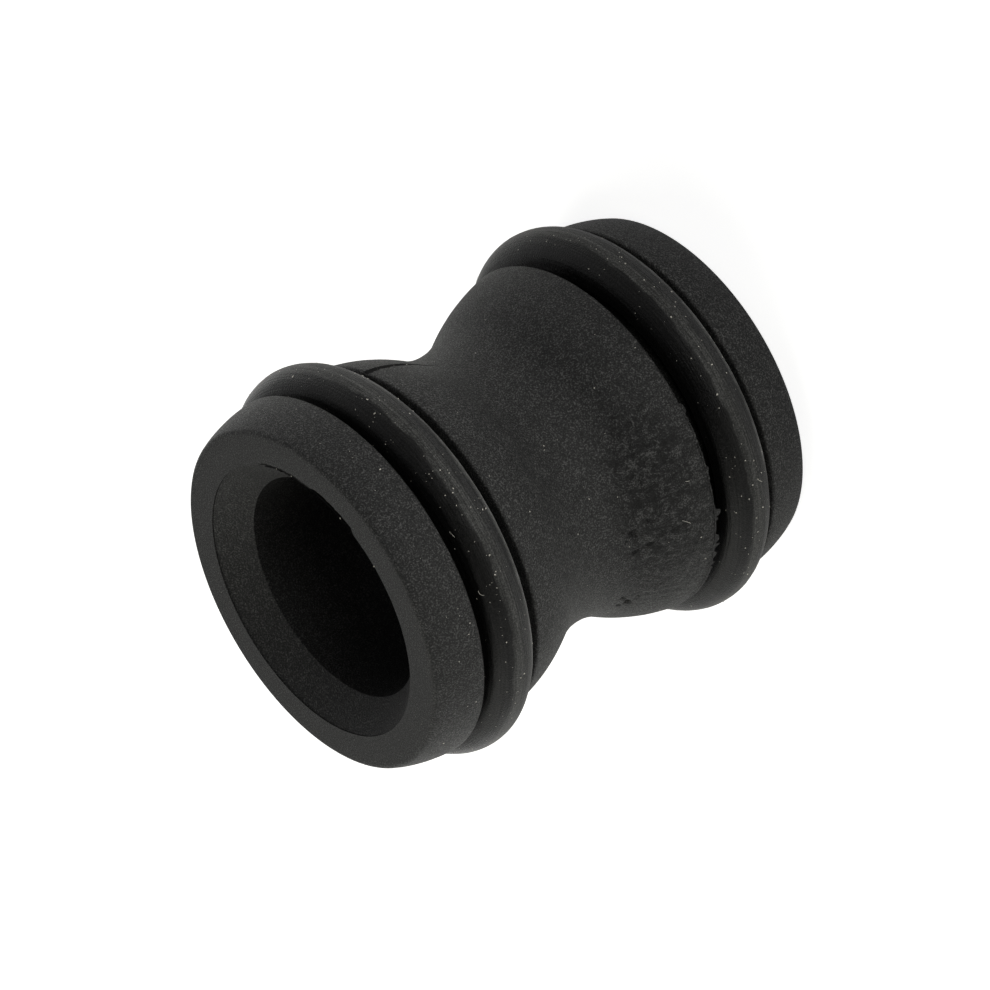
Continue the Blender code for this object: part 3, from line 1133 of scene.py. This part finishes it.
for end in ("upper", "lower"):
    node = f"o_ring_{end}"
    ring = turn_ring(f"o_ring_{end}_rubber", node)
    rubber = seal_rubber(f"nitrile_rubber_dust_and_painted_light_{end}", node)
    dress(ring, rubber, node)

# Flakes that hang from the lower rim: azimuth, half width in degrees and length in millimetres
FLAKES = (
    (-97, 1.2, 0.12),
    (-117, 1.0, 0.16),
    (-132.4, 1.3, 0.5),
    (-134.6, 0.6, 0.26),
    (-142.2, 1.4, 0.34),
    (-145, 0.6, 0.42),
    (-149, 1.0, 0.26),
    (-153, 0.5, 0.3),
    (-155.5, 0.7, 0.2),
    (-158, 1.6, 0.16),
    (-160.2, 0.4, 0.34),
    (-161.8, 0.4, 0.24),
    (-164, 1.0, 0.24),
    (-166.6, 0.5, 0.32),
    (-168.2, 0.4, 0.42),
    (-170, 1.4, 0.2),
    (-171.6, 0.4, 0.34),
    (-173.5, 0.8, 0.3),
    (-175.6, 0.5, 0.3),
)
# Slivers of flash: name, radius, height, azimuths, reach, lean, rag and flakes
LOWER_RIM_SKIN = 14.52
SLIVERS = (
    ("lower_rim_flash", LOWER_RIM_SKIN, LOWER_RIM + 0.1, (-178, -95), -0.14, 0.0, 0.1, FLAKES),
    ("mouth_web_flash", MOUTH_RADIUS - 0.02, LENGTH - 0.14, (-77, -51), 0.07, -0.03, 0.05),
    ("mouth_lip_flash", MOUTH_RADIUS - 0.04, LENGTH - 0.16, (-47, -24), 0.06, -0.1, 0.08),
)
for sliver in SLIVERS:
    dress(flash_sliver(*sliver), nylon)

# Specks at places where the picture shows them: on the parting line, the mouth's edge and the rings
SEEN_SPECKS = [
    (*place_on_pipe(-31.2, 26.4), 0.13),
    (*place_on_pipe(-31.2, 24.9), 0.15),
    (*place_on_pipe(-31.2, 23.8), 0.14),
    (*place_on_face(-32, MOUTH_RADIUS + 0.02), 0.12),
    (*place_on_face(-41, MOUTH_RADIUS + 0.04), 0.1),
    (*place_on_face(-69, MOUTH_RADIUS + 0.06), 0.16),
    (*place_on_face(-91, MOUTH_RADIUS + 0.02), 0.18),
    (*place_on_face(-160, MOUTH_RADIUS + 0.05, 0.12), 0.3),
    (*place_on_ring("o_ring_upper", -38, -42), 0.2),
    (*place_on_ring("o_ring_upper", -40, -44), 0.14),
    (*place_on_ring("o_ring_upper", -52, -50), 0.16),
    (*place_on_ring("o_ring_upper", -58, -52), 0.12),
]
dust_rng = random.Random(DUST_SEED)
specks = random_places(dust_rng) + SEEN_SPECKS
dust = scatter_dust("dust_specks", specks, dust_rng)
dress(dust, lint)

# Fibres of lint as pairs of places, with how far each bows and stands off
UPPER, LOWER = "o_ring_upper", "o_ring_lower"
FIBRES = (
    (place_on_ring(UPPER, -93.2, 71), place_on_ring(UPPER, -95.2, 66), -0.03, 0.05),
    (place_on_ring(UPPER, -112, 66), place_on_ring(UPPER, -113.6, 56), 0.12, 0.05),
    (place_on_ring(LOWER, -124.6, 0), place_on_ring(LOWER, -126.2, -12), 0.05, 0.05),
    (place_on_pipe(-130.2, 12.3), place_on_pipe(-132.2, 11.7), -0.02, 0.03),
    (place_on_pipe(-117.6, 11.5), place_on_pipe(-117.9, 11.2), 0.02, 0.03),
)
for index, (start, end, bow, lift) in enumerate(FIBRES):
    fibre = lint_fibre(f"lint_fibre_{index + 1}", bent_between(start, end, bow, lift))
    dress(fibre, lint)

add_camera()
add_floor()
add_world()
for lamp in LAMPS:
    add_lamp(*lamp)
bpy.context.scene.view_settings.view_transform = "Standard"
